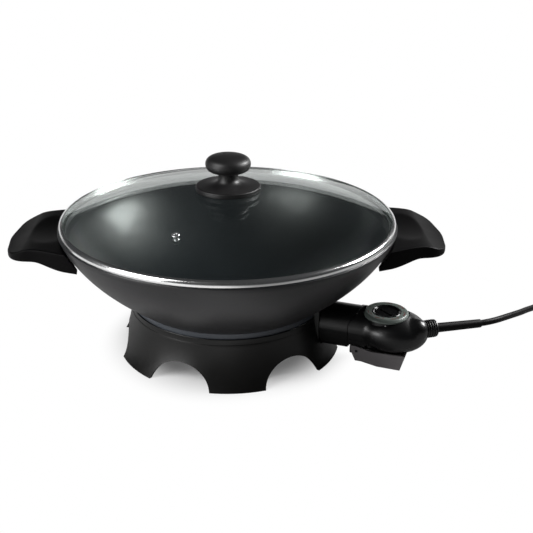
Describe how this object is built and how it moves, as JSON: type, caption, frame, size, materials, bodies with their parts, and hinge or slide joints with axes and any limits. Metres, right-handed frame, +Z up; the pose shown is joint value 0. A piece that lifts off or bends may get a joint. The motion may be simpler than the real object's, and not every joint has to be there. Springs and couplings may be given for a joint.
{
  "type": "electric wok",
  "caption": "Electric wok with a cast non-stick bowl, a vented glass lid, two side handles, an arched base and a plug-in temperature control on a cord.",
  "frame": {"origin": "on the table, below the axis of the bowl", "axes": "+X to the right-hand handle, -Y to the cook, +Z up"},
  "size_m": [0.7485, 0.362, 0.2157],
  "materials": {
    "bowl_coating": "cast aluminium with a speckled non-stick coating, semi-gloss",
    "element_steel": "dull",
    "bright_metal": "bright",
    "ceramic": "matt ceramic",
    "shroud_plastic": "matt",
    "screw_steel": "plated",
    "base_plastic": "fine matt texture",
    "handle_plastic": "satin",
    "lid_glass": "clear tempered",
    "band_steel": "polished",
    "knob_plastic": "satin",
    "grey_rubber": "matt",
    "control_plastic": "glossy",
    "moulded_resin": "matt",
    "brass": "satin",
    "unit_metal": "dull plated",
    "cord_rubber": "satin",
    "dial_plastic": "satin",
    "cap_plastic": "glossy",
    "lever_plastic": "matt",
    "tie_plastic": "matt"
  },
  "bodies": {
    "cooker": {"wok_pan": "bowl_coating", "heating_element": "element_steel", "terminal_pins": "bright_metal", "terminal_insulators": "ceramic", "inlet_shroud": "shroud_plastic", "shroud_screws": "screw_steel", "base_skirt": "base_plastic", "base_screws": "screw_steel", "left_handle": "handle_plastic", "right_handle": "handle_plastic", "left_handle_screws": "screw_steel", "right_handle_screws": "screw_steel"},
    "lid": {"lid_glass": "lid_glass", "lid_band": "band_steel", "vent_eyelet": "bright_metal", "lid_knob": "knob_plastic", "knob_gasket": "grey_rubber", "inner_gasket": "grey_rubber", "inner_washer": "bright_metal", "knob_screw": "bright_metal"},
    "control": {"nose_housing": "control_plastic", "body_housing": "control_plastic", "bottom_cover": "control_plastic", "cover_screws": "screw_steel", "terminal_block": "moulded_resin", "contact_sleeves": "brass", "probe_rod": "bright_metal", "thermostat_unit": "unit_metal", "cord_clamp": "moulded_resin", "cord_gland": "cord_rubber", "lever_pin": "bright_metal", "lever_spring": "bright_metal", "cord_sleeve": "cord_rubber", "cord_run": "cord_rubber", "cord_coil": "cord_rubber", "coil_tie": "tie_plastic", "plug_body": "cord_rubber", "plug_pins": "bright_metal"},
    "dial": {"dial_ring": "dial_plastic", "dial_cap": "cap_plastic", "dial_spindle": "bright_metal"},
    "lever": {"release_lever": "lever_plastic"}
  },
  "joints": [
    {"name": "lid_lift", "type": "slide", "parent": "cooker", "child": "lid", "axis": [0, 0, 1], "range_m": [0, 0.12]},
    {"name": "control_pull", "type": "slide", "parent": "cooker", "child": "control", "axis": [0.9272, -0.3746, 0], "range_m": [0, 0.07]},
    {"name": "dial_turn", "type": "hinge", "parent": "control", "child": "dial", "pos_m": [0.1656, -0.0669, 0.0615], "axis": [0, 0, 1], "range_deg": [0, 280]},
    {"name": "lever_squeeze", "type": "hinge", "parent": "control", "child": "lever", "pos_m": [0.1414, -0.05713, 0.02], "axis": [-0.3746, -0.9272, 0], "range_deg": [0, 7], "stiffness_Nm_per_rad": 0.2, "springref_deg": -8.59}
  ]
}
